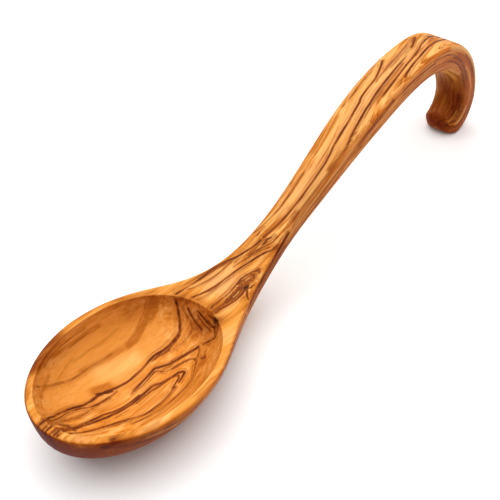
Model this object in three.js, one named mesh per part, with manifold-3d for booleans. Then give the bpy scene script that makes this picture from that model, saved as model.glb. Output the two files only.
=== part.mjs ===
// Carved spoon with a hooked handle: one piece of olive wood, hollowed at the bowl end.
// Millimetres, +Z up. The spoon lies along X, bowl at -X and hook at +X, and rests on Z = 0.
import * as THREE from "three";
import { mergeVertices } from "three/addons/utils/BufferGeometryUtils.js";
import Module from "manifold-3d";

// Side view and plan view of the blank, as the sections that the carver works to.
// top and under are points [x, z] on the upper and lower lines of the side view, and a section spans
// each pair. half is half the width there. bottom and wall are the powers of the superellipse below
// the top face: a high bottom is a flat underside, a high wall is a side that drops straight.
const SECTIONS = [
  { at: "bowl nose", top: [-150.6, 29.5], under: [-150.6, 0], half: 31.9, bottom: 2.1, wall: 1.6 },
  { at: "bowl front", top: [-129, 28.25], under: [-129, -0.5], half: 31.9, bottom: 2.1, wall: 1.55 },
  { at: "bowl widest", top: [-107, 27], under: [-107, -0.5], half: 31.9, bottom: 2.1, wall: 1.5 },
  { at: "bowl rear", top: [-91.4, 26], under: [-91.4, 1.2], half: 29.7, bottom: 2.1, wall: 1.6 },
  { at: "shoulder", top: [-75.4, 24.7], under: [-76.4, 5.2], half: 23.3, bottom: 2.4, wall: 2.2 },
  { at: "throat", top: [-59.4, 23], under: [-59.4, 8.8], half: 15.8, bottom: 3, wall: 3.2 },
  { at: "neck root", top: [-41.4, 24.5], under: [-38.9, 13.2], half: 10.2, bottom: 3.1, wall: 3.2 },
  { at: "neck", top: [-21.4, 31.6], under: [-16.4, 21.3], half: 7.2, bottom: 3.4, wall: 3.4 },
  { at: "neck end", top: [0.6, 41.8], under: [6.1, 29.8], half: 7.2, bottom: 3.8, wall: 3.8 },
  { at: "lower grip", top: [22.6, 52.5], under: [28.1, 38.9], half: 8.5, bottom: 4, wall: 4 },
  { at: "grip", top: [44.6, 61], under: [49.1, 47], half: 9.8, bottom: 4.2, wall: 4.2 },
  { at: "upper grip", top: [66.6, 66.4], under: [69.1, 52.2], half: 10.3, bottom: 4.2, wall: 4.2 },
  { at: "crest", top: [88.6, 68.3], under: [88.6, 53.8], half: 10.4, bottom: 4.2, wall: 4.2 },
  { at: "hook start", top: [108.6, 65.7], under: [104.1, 50.8], half: 10.5, bottom: 4.2, wall: 4.2 },
  { at: "hook bend", top: [126.4, 56], under: [118, 43.4], half: 10.2, bottom: 4, wall: 4 },
  { at: "hook back", top: [140.5, 42.5], under: [128.6, 34.2], half: 9.7, bottom: 4, wall: 4 },
  { at: "hook leg", top: [148.1, 28.5], under: [133.2, 25], half: 9.5, bottom: 3.8, wall: 3.8 },
  { at: "hook heel", top: [150.6, 15.5], under: [133.8, 18.6], half: 9.4, bottom: 3.6, wall: 3.6 },
  { at: "hook curl", top: [146.9, 5], under: [131.6, 14.2], half: 9.3, bottom: 3.4, wall: 3.4 },
  { at: "hook foot", top: [139.4, -0.4], under: [128.3, 12], half: 9.2, bottom: 3.2, wall: 3.2 },
  { at: "hook toe", top: [128.6, -0.6], under: [124.9, 11], half: 8.7, bottom: 3, wall: 3 },
];

// Rounded ends
const NOSE = 43.6; // length of the bowl's round front, from its tip to its widest section
const NOSE_PLAN = 2; // power of the front's outline seen from above
const NOSE_KEEL = 2.3; // power of the front's outline seen from the side
const TOE = 9; // length of the dome on the hook's end

// Sanded edges of the top face: [distance along the spoon, radius]
const EDGE_RADII = [
  [0, 1.2],
  [70, 1.2],
  [120, 2.2],
  [180, 3],
];
const EDGE_SHARE = 0.45; // an edge never takes more than this share of a section's half width or depth

// Hollow of the bowl, an oval cut into the rim's plane
const HOLLOW = { x: -107.3, length: 79.6, width: 57, depth: 20, outline: 2.07, floor: 2.2, wall: 0.6 };
const HOLLOW_CLEAR = 12; // how far the cutting shape stands above the rim

// Flat sanded under the bowl and the hook's foot, so that the spoon rests without rocking
const FLOOR_BLOCK = { length: 340, width: 90, height: 20 };

// Facets
const NOSE_RINGS = 16;
const BODY_RINGS = 72;
const TOE_RINGS = 7;
const TOP_STEPS = 6;
const EDGE_STEPS = 3;
const UNDER_STEPS = 20;
const HOLLOW_SIDES = 56;
const HOLLOW_RINGS = 11;

const wasm = await Module();
wasm.setup();

// Natural cubic spline through values at knots: even slope and curvature all along.
function naturalSpline(knots, values) {
  const last = knots.length - 1;
  const bend = new Array(last + 1).fill(0);
  const share = new Array(last + 1).fill(0);
  for (let i = 1; i < last; i++) {
    const left = knots[i] - knots[i - 1];
    const right = knots[i + 1] - knots[i];
    const turn = (values[i + 1] - values[i]) / right - (values[i] - values[i - 1]) / left;
    const pivot = 2 * (left + right) - left * share[i - 1];
    share[i] = right / pivot;
    bend[i] = (6 * turn - left * bend[i - 1]) / pivot;
  }
  for (let i = last - 1; i > 0; i--) {
    bend[i] -= share[i] * bend[i + 1];
  }
  return (t) => {
    let i = 0;
    while (i < last - 1 && t > knots[i + 1]) i++;
    const span = knots[i + 1] - knots[i];
    const before = (knots[i + 1] - t) / span;
    const after = (t - knots[i]) / span;
    const line = before * values[i] + after * values[i + 1];
    const cubic = (before ** 3 - before) * bend[i] + (after ** 3 - after) * bend[i + 1];
    return line + (cubic * span * span) / 6;
  };
}

// Straight lines through [t, value] pairs, level beyond the ends.
function stepped(pairs, t) {
  const next = pairs.findIndex(([at]) => at > t);
  if (next === 0) return pairs[0][1];
  if (next < 0) return pairs[pairs.length - 1][1];
  const [t0, v0] = pairs[next - 1];
  const [t1, v1] = pairs[next];
  return THREE.MathUtils.mapLinear(t, t0, t1, v0, v1);
}

// Distance along the top line to each section, and the section's values as splines over it.
const along = [0];
SECTIONS.slice(1).forEach((section, i) => {
  const [x0, z0] = SECTIONS[i].top;
  const [x1, z1] = section.top;
  along.push(along[i] + Math.hypot(x1 - x0, z1 - z0));
});
const LENGTH_ALONG = along[along.length - 1];
const track = (read) => naturalSpline(along, SECTIONS.map(read));
const topX = track((s) => s.top[0]);
const topZ = track((s) => s.top[1]);
const underX = track((s) => s.under[0]);
const underZ = track((s) => s.under[1]);
const halfWidth = track((s) => s.half);
const bottomPower = track((s) => s.bottom);
const wallPower = track((s) => s.wall);

// Quarter of a superellipse: 0 at the tip, 1 where the round end meets the full section.
function roundEnd(fromFull, power) {
  return (1 - Math.min(1, Math.max(0, fromFull)) ** power) ** (1 / power);
}

// Half of a section from the middle of its top face to the middle of its underside, as [y, depth].
function halfSection(half, depth, edge, bottom, wall) {
  const points = [];
  for (let i = 0; i < TOP_STEPS / 2; i++) {
    points.push([((half - edge) * 2 * i) / TOP_STEPS, 0]);
  }
  for (let i = 0; i < EDGE_STEPS; i++) {
    const turn = (i / EDGE_STEPS) * (Math.PI / 2);
    points.push([half - edge + edge * Math.sin(turn), edge - edge * Math.cos(turn)]);
  }
  const steps = UNDER_STEPS / 2;
  for (let i = 0; i <= steps; i++) {
    const turn = (i / steps) * (Math.PI / 2);
    const y = i === steps ? 0 : half * Math.cos(turn) ** (2 / bottom);
    points.push([y, edge + (depth - edge) * Math.sin(turn) ** (2 / wall)]);
  }
  return points;
}

// Ring of the outside at a distance t along the spoon, in its place.
function outerRing(t) {
  const fromWidest = (NOSE - t) / NOSE;
  const half = halfWidth(t) * roundEnd(fromWidest, NOSE_PLAN);
  const drop = new THREE.Vector2(underX(t) - topX(t), underZ(t) - topZ(t));
  const depth = drop.length() * roundEnd(fromWidest, NOSE_KEEL);
  drop.normalize();
  const edge = Math.min(stepped(EDGE_RADII, t), EDGE_SHARE * Math.min(half, depth));
  const dome = roundEnd((t - LENGTH_ALONG + TOE) / TOE, 2);
  const right = halfSection(half, depth, edge, bottomPower(t), wallPower(t));
  const left = right.slice(1, -1).reverse();
  const outline = [...right, ...left.map(([y, d]) => [-y, d])];
  return outline.map(([y, d]) => {
    const level = depth / 2 + (d - depth / 2) * dome;
    return new THREE.Vector3(topX(t) + drop.x * level, -y * dome, topZ(t) + drop.y * level);
  });
}

// Skin over rings of points, closed to a point at each end.
function loft(first, rings, last) {
  const count = rings[0].length;
  const points = [first, ...rings.flat(), last];
  const faces = [];
  const index = (ring, k) => 1 + ring * count + (k % count);
  for (let k = 0; k < count; k++) {
    faces.push(0, index(0, k + 1), index(0, k));
    for (let ring = 0; ring + 1 < rings.length; ring++) {
      const a = index(ring, k);
      const b = index(ring, k + 1);
      const c = index(ring + 1, k + 1);
      const d = index(ring + 1, k);
      faces.push(a, b, d, b, c, d);
    }
    faces.push(points.length - 1, index(rings.length - 1, k), index(rings.length - 1, k + 1));
  }
  return new THREE.BufferGeometry().setFromPoints(points).setIndex(faces);
}

// Distances along the spoon, bunched where its ends round off.
function stations() {
  const list = [];
  for (let i = 1; i < NOSE_RINGS; i++) {
    list.push(NOSE * (1 - Math.cos((i / NOSE_RINGS) * (Math.PI / 2))));
  }
  const body = LENGTH_ALONG - TOE - NOSE;
  for (let i = 0; i < BODY_RINGS; i++) {
    list.push(NOSE + (body * i) / BODY_RINGS);
  }
  for (let i = 0; i < TOE_RINGS; i++) {
    list.push(LENGTH_ALONG - TOE + TOE * Math.sin((i / TOE_RINGS) * (Math.PI / 2)));
  }
  return list;
}

// Outside of the spoon before it is hollowed.
function blank() {
  const end = LENGTH_ALONG;
  const noseTip = new THREE.Vector3(topX(0), 0, topZ(0));
  const toeTip = new THREE.Vector3((topX(end) + underX(end)) / 2, 0, (topZ(end) + underZ(end)) / 2);
  return loft(noseTip, stations().map(outerRing), toeTip);
}

// Height of the rim's plane, which runs straight from the nose through the widest section.
function rimHeight(x) {
  const [x0, z0] = SECTIONS[0].top;
  const [x1, z1] = SECTIONS.find((s) => s.at === "bowl widest").top;
  return THREE.MathUtils.mapLinear(x, x0, x1, z0, z1);
}

// Oval at a share of the hollow's size, sunk below the rim's plane.
function hollowRing(share, sink) {
  const ring = [];
  for (let k = 0; k < HOLLOW_SIDES; k++) {
    const turn = (2 * Math.PI * k) / HOLLOW_SIDES;
    const reachX = Math.abs(Math.cos(turn) / (HOLLOW.length / 2)) ** HOLLOW.outline;
    const reachY = Math.abs(Math.sin(turn) / (HOLLOW.width / 2)) ** HOLLOW.outline;
    const radius = share * (reachX + reachY) ** (-1 / HOLLOW.outline);
    const x = HOLLOW.x + radius * Math.cos(turn);
    ring.push(new THREE.Vector3(x, radius * Math.sin(turn), rimHeight(x) - sink));
  }
  return ring;
}

// Shape that is cut away for the hollow: a round floor, a wall that steepens to the rim, and a prism above.
function hollowCutter() {
  const rings = [];
  for (let i = 1; i <= HOLLOW_RINGS; i++) {
    const share = Math.sin((i / HOLLOW_RINGS) * (Math.PI / 2));
    rings.push(hollowRing(share, HOLLOW.depth * (1 - share ** HOLLOW.floor) ** HOLLOW.wall));
  }
  rings.push(hollowRing(1, -HOLLOW_CLEAR));
  const floor = new THREE.Vector3(HOLLOW.x, 0, rimHeight(HOLLOW.x) - HOLLOW.depth);
  const above = new THREE.Vector3(HOLLOW.x, 0, rimHeight(HOLLOW.x) + HOLLOW_CLEAR);
  return loft(floor, rings, above);
}

// Block under the resting plane.
function floorCutter() {
  const { length, width, height } = FLOOR_BLOCK;
  return new THREE.BoxGeometry(length, width, height).translate(0, 0, -height / 2);
}

// Closed geometry as a solid that can be cut, and back again.
function solid(geometry) {
  geometry.deleteAttribute("normal");
  geometry.deleteAttribute("uv");
  const merged = mergeVertices(geometry, 1e-4);
  const vertProperties = new Float32Array(merged.attributes.position.array);
  const triVerts = new Uint32Array(merged.index.array);
  return new wasm.Manifold(new wasm.Mesh({ numProp: 3, vertProperties, triVerts }));
}

function surface(shape) {
  const mesh = shape.getMesh();
  const geometry = new THREE.BufferGeometry();
  geometry.setAttribute("position", new THREE.BufferAttribute(mesh.vertProperties, 3));
  geometry.setIndex(new THREE.BufferAttribute(mesh.triVerts, 1));
  geometry.computeVertexNormals();
  return geometry;
}

const oliveWood = new THREE.MeshStandardMaterial({ color: 0xd08f45, roughness: 0.42, metalness: 0 });

const carved = solid(blank()).subtract(solid(hollowCutter())).subtract(solid(floorCutter()));
const spoon = new THREE.Mesh(surface(carved), oliveWood);
spoon.name = "carved_spoon";

const part = new THREE.Group();
part.add(spoon);

export default part;
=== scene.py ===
import math
import bpy
import numpy as np
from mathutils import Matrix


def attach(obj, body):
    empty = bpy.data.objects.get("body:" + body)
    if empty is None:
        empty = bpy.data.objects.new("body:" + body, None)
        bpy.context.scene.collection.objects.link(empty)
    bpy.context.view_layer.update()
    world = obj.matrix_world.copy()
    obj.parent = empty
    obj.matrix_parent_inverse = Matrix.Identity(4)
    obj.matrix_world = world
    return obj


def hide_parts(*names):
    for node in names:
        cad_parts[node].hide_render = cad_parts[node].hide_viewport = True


# Wooden spoon with a hooked handle: one carved surface in figured olive wood, on a pale studio floor
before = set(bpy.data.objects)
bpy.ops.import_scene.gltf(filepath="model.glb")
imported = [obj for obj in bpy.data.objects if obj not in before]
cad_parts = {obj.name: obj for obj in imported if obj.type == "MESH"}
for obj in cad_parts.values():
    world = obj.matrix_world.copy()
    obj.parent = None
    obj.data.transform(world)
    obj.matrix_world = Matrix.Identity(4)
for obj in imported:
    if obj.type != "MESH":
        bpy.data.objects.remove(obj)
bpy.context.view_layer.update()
mm = 0.001       # metres in a millimetre
cubicCm = 1000   # cubic millimetres in a cubic centimetre
print("stage: frame loaded")

# The blank that the spoon is carved from, in millimetres
blank = {
    # section: top x, top z, under x, under z, half width, power of the bottom, power of the wall
    "sections": {
        "bowl nose": (-150.6, 29.5, -150.6, 0, 31.9, 2.1, 1.6),
        "bowl front": (-129, 28.25, -129, -0.5, 31.9, 2.1, 1.55),
        "bowl widest": (-107, 27, -107, -0.5, 31.9, 2.1, 1.5),
        "bowl rear": (-91.4, 26, -91.4, 1.2, 29.7, 2.1, 1.6),
        "shoulder": (-75.4, 24.7, -76.4, 5.2, 23.3, 2.4, 2.2),
        "throat": (-59.4, 23, -59.4, 8.8, 15.8, 3, 3.2),
        "neck root": (-41.4, 24.5, -38.9, 13.2, 10.2, 3.1, 3.2),
        "neck": (-21.4, 31.6, -16.4, 21.3, 7.2, 3.4, 3.4),
        "neck end": (0.6, 41.8, 6.1, 29.8, 7.2, 3.8, 3.8),
        "lower grip": (22.6, 52.5, 28.1, 38.9, 8.5, 4, 4),
        "grip": (44.6, 61, 49.1, 47, 9.8, 4.2, 4.2),
        "upper grip": (66.6, 66.4, 69.1, 52.2, 10.3, 4.2, 4.2),
        "crest": (88.6, 68.3, 88.6, 53.8, 10.4, 4.2, 4.2),
        "hook start": (108.6, 65.7, 104.1, 50.8, 10.5, 4.2, 4.2),
        "hook bend": (126.4, 56, 118, 43.4, 10.2, 4, 4),
        "hook back": (140.5, 42.5, 128.6, 34.2, 9.7, 4, 4),
        "hook leg": (148.1, 28.5, 133.2, 25, 9.5, 3.8, 3.8),
        "hook heel": (150.6, 15.5, 133.8, 18.6, 9.4, 3.6, 3.6),
        "hook curl": (146.9, 5, 131.6, 14.2, 9.3, 3.4, 3.4),
        "hook foot": (139.4, -0.4, 128.3, 12, 9.2, 3.2, 3.2),
        "hook toe": (128.6, -0.6, 124.9, 11, 8.7, 3, 3),
    },
    "noseLength": 43.6,
    "noseKeel": 2.3,         # power of the keel's curve under the nose
    "toeLength": 9,
    # radius of the rounded top edge: along, radius
    "edge": ((0, 1.2), (70, 1.2), (120, 2.2), (180, 3)),
    "edgeSurplus": 0.57,     # what a quarter circle has over its radius, for a radius of one
    "neckCut": -64.5,        # top x where the bowl's patches hand over to the handle's rings
    "rulerSteps": 4001,      # steps of the ruler that gives the distance along at an x
    "sideColumns": 88,
    "noseColumns": 205,
    "cutColumns": 48,
    "edgeSteps": 6,
    "wallSteps": 38,
    "toeSteps": 26,
    # rings of the handle: from here along on, rings for each millimetre
    "ringDensity": ((80, 2), (128, 2), (136, 0.75), (262, 0.75), (280, 0.9), (380, 0.9)),
    "ringRuler": 2001,       # steps of the ruler that the density is summed on
    "weldGrid": 2000,        # points that agree on a grid of this many steps to the millimetre become one
}
tiny = 1e-9                  # keeps a division off zero

# The oval hollow that is cut into the sloping rim, in millimetres
hollow = {
    "x": -107.3,
    "length": 79.6,
    "width": 57,
    "depth": 20,
    "outline": 2.07,         # power of the oval in plan
    "floor": 2.2,            # power of the floor's curve
    "wall": 0.6,             # power of the wall's curve
    "lip": 0.35,             # radius of the inner lip
    "floorSteps": 84,
    "lipSteps": 4,
    "rimSteps": 8,
}


# Natural cubic spline of every column: second slopes solved from the knots, then a cubic in each span
def naturalSpline(knots, values):
    gap = np.diff(knots)
    count = len(knots)
    middle = np.arange(1, count - 1)
    system = np.eye(count)
    system[middle, middle - 1] = gap[:-1]
    system[middle, middle] = 2 * (gap[:-1] + gap[1:])
    system[middle, middle + 1] = gap[1:]
    bendSide = np.zeros((count, values.shape[1]))
    bendSide[1:-1] = 6 * np.diff(np.diff(values, axis=0) / gap[:, None], axis=0)
    bend = np.linalg.solve(system, bendSide)

    def at(place):
        place = np.asarray(place, float)
        k = np.clip(np.searchsorted(knots, place, side="right") - 1, 0, count - 2)
        span = gap[k][..., None]
        before = (knots[k + 1] - place)[..., None] / span
        after = 1 - before
        line = before * values[k] + after * values[k + 1]
        cubic = (before**3 - before) * bend[k] + (after**3 - after) * bend[k + 1]
        return line + cubic * span**2 / 6

    return at


sectionRows = np.array(list(blank["sections"].values()), float)
stepsAlong = np.hypot(np.diff(sectionRows[:, 0]), np.diff(sectionRows[:, 1]))
knotAlong = np.concatenate([[0], np.cumsum(stepsAlong)])
fullLength = knotAlong[-1]
track = naturalSpline(knotAlong, sectionRows)
rulerAlong = np.linspace(0, fullLength, blank["rulerSteps"])
rulerX = track(rulerAlong)[:, 0]
rulerEnd = int(np.argmax(rulerX))
widestKnot = list(blank["sections"]).index("bowl widest")
widestAlong = knotAlong[widestKnot]
widestRow = sectionRows[widestKnot]


# Level at a place, by straight lines between listed (place, level) points
def levelAt(place, points):
    return np.interp(place, *np.transpose(points))


# Distance along the top line at a given x, read off a fine ruler of the part where x grows
def alongAtX(x):
    return np.interp(x, rulerX[:rulerEnd], rulerAlong[:rulerEnd])


# Height of the top line at a given x
def topAtX(x):
    return track(alongAtX(x))[..., 1]


# A point d below the top line and y across it: top point plus d times the unit line from top to underside
def placeOnBlank(along, y, d):
    row = track(along)
    drop = row[..., 2:4] - row[..., 0:2]
    drop = drop / np.linalg.norm(drop, axis=-1, keepdims=True)
    return np.stack([row[..., 0] + drop[..., 0] * d, y + 0 * d, row[..., 1] + drop[..., 1] * d], -1)


# Angles of the rounded edge and shares of the wall below it, both in even steps
def sectionSteps():
    turn = np.linspace(0, np.pi / 2, blank["edgeSteps"] + 1)[None, :]
    share = np.linspace(0, 1, blank["wallSteps"] + 1)[None, 1:]
    return turn, share


# Angle at a share of the half section from edge to keel, eased so that steps stay even where a superellipse
# turns fast
def wallAngle(share, bottom, wall):
    down = share ** (wall / 2)
    up = (1 - share) ** (bottom / 2)
    return np.pi / 2 * down / (down + up)


# Half section at a distance along: quarter circle of the edge, then a superellipse wall down to the keel
def halfSection(along):
    row = track(along)[:, None, :]
    edge = levelAt(along, blank["edge"])[:, None]
    half, bottom, wall = row[..., 4], row[..., 5], row[..., 6]
    depth = np.hypot(row[..., 2] - row[..., 0], row[..., 3] - row[..., 1])
    turn, share = sectionSteps()
    edgeY = half - edge + edge * np.sin(turn)
    edgeD = edge - edge * np.cos(turn)
    phi = wallAngle(share, bottom, wall)
    wallY = half * np.cos(phi) ** (2 / bottom)
    wallD = edge + (depth - edge) * np.sin(phi) ** (2 / wall)
    wallY[:, -1] = 0
    return np.concatenate([edgeY, wallY], 1), np.concatenate([edgeD, wallD], 1)


# Columns of the bowl's nose: an ellipse in plan, whose depth fades to the front by the keel's power
def noseColumns():
    psi = np.linspace(np.pi / 2, -np.pi / 2, blank["noseColumns"])[:, None]
    half, bottom, wall = widestRow[4:7]
    edge = levelAt(widestAlong, blank["edge"])
    length = blank["noseLength"]
    planX = widestRow[0] - length * np.cos(psi)
    planY = half * np.sin(psi)
    normalX = -np.cos(psi) / length
    normalY = np.sin(psi) / half
    size = np.hypot(normalX, normalY)
    turn, share = sectionSteps()
    inset = edge - edge * np.sin(turn)
    edgeX = planX - normalX / size * inset
    edgeY = planY - normalY / size * inset
    edgeD = (edge - edge * np.cos(turn)) + 0 * edgeX
    reach = np.cos(wallAngle(share, bottom, wall)) ** (2 / bottom)
    reach[:, -1] = 0
    wallX = widestRow[0] - length * reach * np.cos(psi)
    wallY = half * reach * np.sin(psi)
    forward = np.clip(reach * np.cos(psi), 0, 1)
    row = track(alongAtX(wallX))
    depth = row[..., 1] - row[..., 3]
    aside = np.abs(reach * np.sin(psi)) / np.sqrt(np.clip(1 - forward**2, tiny, 1))
    keel = np.clip(1 - forward ** blank["noseKeel"], 0, 1) ** (1 / blank["noseKeel"])
    wallD = edge + (depth - edge) * keel * np.clip(1 - aside**bottom, 0, 1) ** (1 / wall)
    x = np.concatenate([edgeX, wallX], 1)
    y = np.concatenate([edgeY, wallY], 1)
    d = np.concatenate([edgeD, wallD], 1)
    place = np.stack([x, y, topAtX(x) - d], -1)
    return place, np.stack([alongAtX(x), y, d], -1)


# Columns of one side of the bowl, from the neck cut to the widest section or back: half sections set on
# the blank, with y turned by the sign of the side
def sideColumns(sign, stations):
    y, d = halfSection(stations)
    along = stations[:, None] + 0 * y
    place = placeOnBlank(along, sign * y, d)
    return place, np.stack([along, sign * y, d], -1)


# Hollow and rim: spokes from the hollow's middle to each edge point; the floor sinks by a power of the
# distance to the oval, the lip is a quarter circle, and the rim lies on the top line
def topPatch(edge):
    edgePlace, edgeWood = edge
    edgePlan = edgePlace[:, :2]
    middle = np.array([hollow["x"], 0])
    reach = edgePlan - middle
    power = hollow["outline"]
    sized = np.abs(reach) / (hollow["length"] / 2, hollow["width"] / 2)
    oval = (sized**power).sum(1, keepdims=True) ** (1 / power)
    spoke = np.linalg.norm(reach, axis=1, keepdims=True)
    lip = hollow["lip"]
    floorShare = np.sin(np.linspace(0, np.pi / 2, hollow["floorSteps"]))[None, :]
    fall = np.clip(1 - floorShare ** hollow["floor"], 0, 1) ** hollow["wall"]
    sink = lip + (hollow["depth"] - lip) * fall
    turn = np.linspace(0, np.pi / 2, hollow["lipSteps"] + 1)[None, 1:]
    lipShare = 1 / oval + (lip - lip * np.cos(turn)) / spoke
    rimShare = np.linspace(0, 1, hollow["rimSteps"] + 1)[None, 1:]
    rimShare = lipShare[:, -1:] + (1 - lipShare[:, -1:]) * rimShare
    share = np.concatenate([floorShare / oval, lipShare, rimShare], 1)
    lipSink = lip - lip * np.sin(turn) + 0 * lipShare
    d = np.concatenate([sink + 0 * oval, lipSink, 0 * rimShare], 1)
    x = middle[0] + reach[:, :1] * share
    y = reach[:, 1:] * share
    place = np.stack([x, y, topAtX(x) - d], -1)
    wood = np.stack([alongAtX(x), y, d], -1)
    place[:, -1] = edgePlace
    wood[:, -1] = edgeWood
    return place, wood


# Full rings of the neck, handle and hook; the toe shrinks to a point on a quarter ellipse; the girth is the
# way round from the top edge, counted so that it equals d on the flat of the side
def handleRings(stations):
    y, d = halfSection(stations)
    across = np.linspace(1, -1, blank["cutColumns"])[None, 1:-1]
    topY = y[:, :1] * across
    ringY = np.concatenate([topY, -y, y[:, -2::-1]], 1)
    ringD = np.concatenate([0 * topY, d, d[:, -2::-1]], 1)
    depth = d[:, -1:]
    toe = np.clip((stations - fullLength + blank["toeLength"]) / blank["toeLength"], 0, 1)[:, None]
    shrink = np.sqrt(1 - toe**2)
    ringY = ringY * shrink
    ringD = depth / 2 + (ringD - depth / 2) * shrink
    along = stations[:, None] + 0 * ringY
    steps = np.hypot(np.diff(y, axis=1), np.diff(d, axis=1))
    surplus = blank["edgeSurplus"] * levelAt(stations, blank["edge"])[:, None]
    girth = np.concatenate([0 * depth, np.cumsum(steps, 1)], 1) - surplus
    girth = girth[:, -1:] / 2 + (girth - girth[:, -1:] / 2) * shrink
    girth = np.concatenate([0 * topY, girth, girth[:, -2::-1]], 1)
    return placeOnBlank(along, ringY, ringD), np.stack([along, ringY, ringD], -1), girth


# Places of the handle's rings: even steps of the running sum of the wanted density, then by a sine to
# the toe
def handleStations(start):
    toeStart = fullLength - blank["toeLength"]
    ruler = np.linspace(start, toeStart, blank["ringRuler"])
    density = levelAt(ruler, blank["ringDensity"])
    count = np.concatenate([[0], np.cumsum((density[1:] + density[:-1]) / 2 * np.diff(ruler))])
    rings = np.interp(np.linspace(0, count[-1], int(count[-1]) + 1), count, ruler)
    toeTurn = np.linspace(0, np.pi / 2, blank["toeSteps"])[1:]
    return np.concatenate([rings, toeStart + blank["toeLength"] * np.sin(toeTurn)])


# The bowl's outer wall, its top with the hollow, and the handle's rings, each as places, wood coordinates
# (along, y, d) and girth; a bowl point's girth is its d
def skinPatches():
    cutAlong = float(alongAtX(blank["neckCut"]))
    toWidest = np.linspace(cutAlong, widestAlong, blank["sideColumns"])
    left = sideColumns(1, toWidest)
    nose = noseColumns()
    right = sideColumns(-1, toWidest[::-1])
    outer = [np.concatenate([left[k], nose[k][1:-1], right[k]]) for k in (0, 1)]
    *rings, girth = handleRings(handleStations(cutAlong))
    cutCount = blank["cutColumns"] - 2
    cut = [ring[0, cutCount - 1::-1] for ring in rings]
    top = topPatch([np.concatenate([outer[k][:, 0], cut[k], outer[k][:1, 0]]) for k in (0, 1)])
    loops = [np.concatenate([part, part[:, :1]], 1) for part in (*rings, girth)]
    return (*outer, outer[1][..., 2]), (*top, top[1][..., 2]), loops


# Two triangles for each cell of every patch, with the points numbered one patch after the other
def patchTriangles(patches):
    triangles = []
    start = 0
    for patch in patches:
        rows, columns = patch[2].shape
        numbers = start + np.arange(rows * columns).reshape(rows, columns)
        start += rows * columns
        a, b = numbers[:-1, :-1].ravel(), numbers[1:, :-1].ravel()
        c, d = numbers[1:, 1:].ravel(), numbers[:-1, 1:].ravel()
        triangles += [np.stack([a, b, c], 1), np.stack([a, c, d], 1)]
    return np.concatenate(triangles)


# Number of edges that have no partner running the other way
def looseEdges(triangles, count):
    edges = np.concatenate([triangles[:, [0, 1]], triangles[:, [1, 2]], triangles[:, [2, 0]]])
    forward = edges[:, 0] * count + edges[:, 1]
    backward = edges[:, 1] * count + edges[:, 0]
    return len(np.setdiff1d(forward, backward))


# The whole skin: the patches joined where their points agree, with the faces out; the volume is a sixth
# of the sum of the triangles' triple products
def carveSpoon():
    patches = skinPatches()
    top = patches[1]
    points, wood = [np.concatenate([patch[k].reshape(-1, 3) for patch in patches]) for k in (0, 1)]
    girth = np.concatenate([patch[2].ravel() for patch in patches])
    outside = np.concatenate([np.full(patch[2].size, patch is not top, float) for patch in patches])
    triangles = patchTriangles(patches)
    points[:, 2] = np.maximum(points[:, 2], 0)  # the flats that the bowl and the hook rest on
    grid = np.round(points * blank["weldGrid"]).astype(np.int64)
    first, same = np.unique(grid, axis=0, return_index=True, return_inverse=True)[1:]
    triangles = same.reshape(-1)[triangles]
    a, b, c = triangles.T
    triangles = triangles[(a != b) & (b != c) & (c != a)]
    points, wood, outside, girth = points[first], wood[first], outside[first], girth[first]
    corner = points[triangles]
    volume = np.einsum("ij,ij->i", corner[:, 0], np.cross(corner[:, 1], corner[:, 2])).sum() / 6
    if volume < 0:
        triangles = triangles[:, ::-1]
    print("stage: skin carved,", len(points), "points,", len(triangles), "triangles,",
          round(abs(volume) / cubicCm, 2), "cubic cm,", looseEdges(triangles, len(points)), "loose edges")
    return points, wood, outside, girth, triangles


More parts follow.
